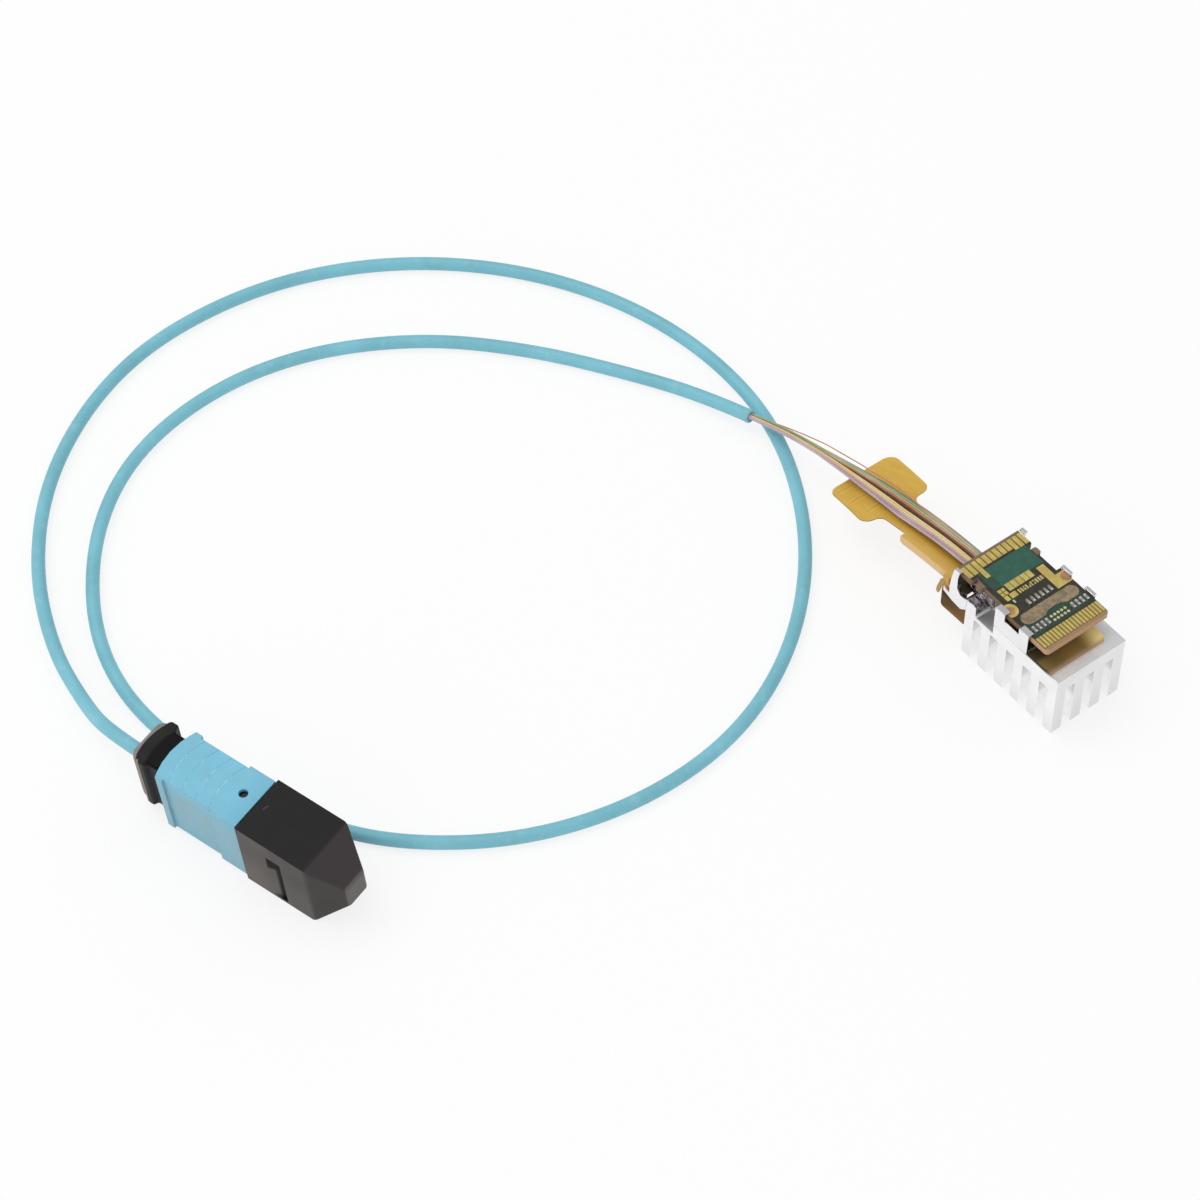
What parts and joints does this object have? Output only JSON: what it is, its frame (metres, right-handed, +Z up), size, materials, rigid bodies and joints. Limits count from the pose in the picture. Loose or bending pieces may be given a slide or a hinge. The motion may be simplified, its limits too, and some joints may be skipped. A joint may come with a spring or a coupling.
{
  "type": "pcie optical cable",
  "caption": "Coiled aqua optical cable between a pin-fin heat-sink optical module with a film pull tab and a push-pull multi-fibre plug under a dust cap.",
  "frame": {"origin": "on the floor under the middle of the heat sink, in the plane of its pin tips", "axes": "+X from the film pull tab to the board's front edge, +Z up through the heat sink to the board, +Y to the board's left as seen from behind"},
  "size_m": [0.1237, 0.1067, 0.0132],
  "materials": {
    "heat_sink": "satin",
    "film": "satin",
    "spring_steel": "satin",
    "board": "satin",
    "gold": "satin",
    "chips": "satin",
    "resin": "satin",
    "silicon": "polished",
    "soft_pad": "matte",
    "optic": "gloss",
    "fibres": "satin",
    "jacket": "satin",
    "sleeve": "satin",
    "black": "matte",
    "inner_black": "satin",
    "ring": "satin"
  },
  "bodies": {
    "cable": {"heat_sink": "heat_sink", "pull_tab": "film", "retaining_clip": "spring_steel", "rear_latch": "spring_steel", "ferrule_spring": "spring_steel", "upper_sleeve_spring": "spring_steel", "lower_sleeve_spring": "spring_steel", "circuit_board": "board", "front_contacts": "gold", "rear_contacts": "gold", "bond_pads": "gold", "corner_pad": "gold", "round_pad": "gold", "test_points": "gold", "chip_capacitors": "chips", "sealing_strip": "resin", "driver_chip": "silicon", "laser_array": "silicon", "detector_array": "silicon", "thermal_pad": "soft_pad", "lens_block": "optic", "fibre_clamp": "optic", "fibre_bundle": "fibres", "cable_jacket": "jacket", "boot": "black", "inner_housing": "inner_black", "spring_push": "inner_black", "crimp_ring": "ring"},
    "sleeve": {"coupling_sleeve": "sleeve"},
    "ferrule": {"ferrule": "inner_black", "ferrule_keeper": "inner_black"},
    "cap": {"dust_cap": "black"}
  },
  "joints": [
    {"name": "sleeve_slide", "type": "slide", "parent": "cable", "child": "sleeve", "axis": [-0.9626, -0.2708, 0], "range_m": [0, 0.0018], "stiffness_N_per_m": 800, "deforming": ["upper_sleeve_spring", "lower_sleeve_spring"]},
    {"name": "ferrule_slide", "type": "slide", "parent": "cable", "child": "ferrule", "axis": [-0.9626, -0.2708, 0], "range_m": [0, 0.0008], "stiffness_N_per_m": 2000, "deforming": ["ferrule_spring"]},
    {"name": "cap_slide", "type": "slide", "parent": "cable", "child": "cap", "axis": [0.9626, 0.2708, 0], "range_m": [0, 0.015]}
  ]
}
